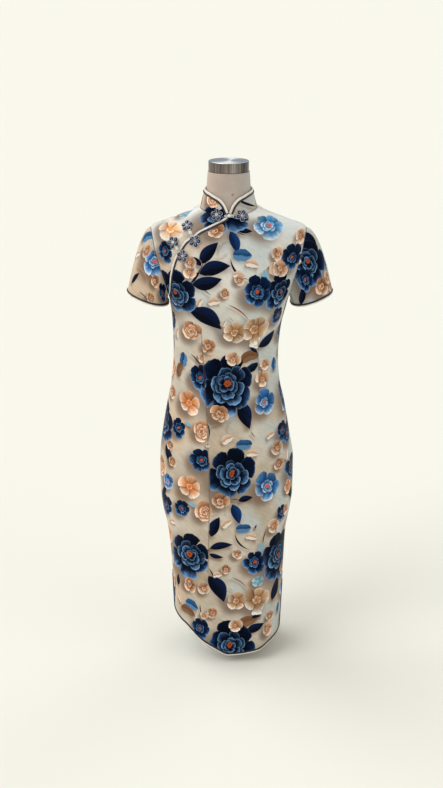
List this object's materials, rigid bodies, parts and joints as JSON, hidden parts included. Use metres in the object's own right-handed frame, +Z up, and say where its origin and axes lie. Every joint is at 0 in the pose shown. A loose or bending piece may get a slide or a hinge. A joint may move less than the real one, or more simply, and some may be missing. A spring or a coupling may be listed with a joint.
{
  "type": "cheongsam dress on a limbless dress form",
  "caption": "Short-sleeved knee-length cheongsam with stand collar, slanted placket, flower frogs and side slits, standing on a limbless dress form with a steel neck cap.",
  "frame": {"origin": "on the floor, at the middle of the whole part's footprint", "axes": "+Z up, the dress faces -Y, +X is the wearer's left"},
  "size_m": [0.5048, 0.2589, 1.283],
  "materials": {
    "printed_satin": "greige satin printed with navy, blue and peach flowers, soft sheen",
    "binding_satin": "cream satin binding with a navy cord line",
    "frog_satin": "navy padded satin petals edged with pale cord",
    "frog_knot": "pale satin cord knot",
    "form_linen": "plain greige linen cover, matt",
    "cap_steel": "spun steel, fine circular brushing",
    "stand_steel": "satin steel"
  },
  "bodies": {
    "root": {"front_panel": "printed_satin", "back_panel": "printed_satin", "underlap": "printed_satin", "sleeve_left": "printed_satin", "sleeve_right": "printed_satin", "collar": "printed_satin", "binding_front_hem": "binding_satin", "binding_back_hem": "binding_satin", "binding_placket": "binding_satin", "binding_collar": "binding_satin", "binding_sleeve_left": "binding_satin", "binding_sleeve_right": "binding_satin", "frog_neck_right": "frog_satin", "frog_neck_left": "frog_satin", "frog_upper_right": "frog_satin", "frog_upper_left": "frog_satin", "frog_lower_right": "frog_satin", "frog_lower_left": "frog_satin", "knot_neck": "frog_knot", "knot_upper": "frog_knot", "knot_lower": "frog_knot", "form_torso": "form_linen", "neck_cap": "cap_steel", "pole": "stand_steel", "base": "stand_steel"}
  },
  "joints": []
}
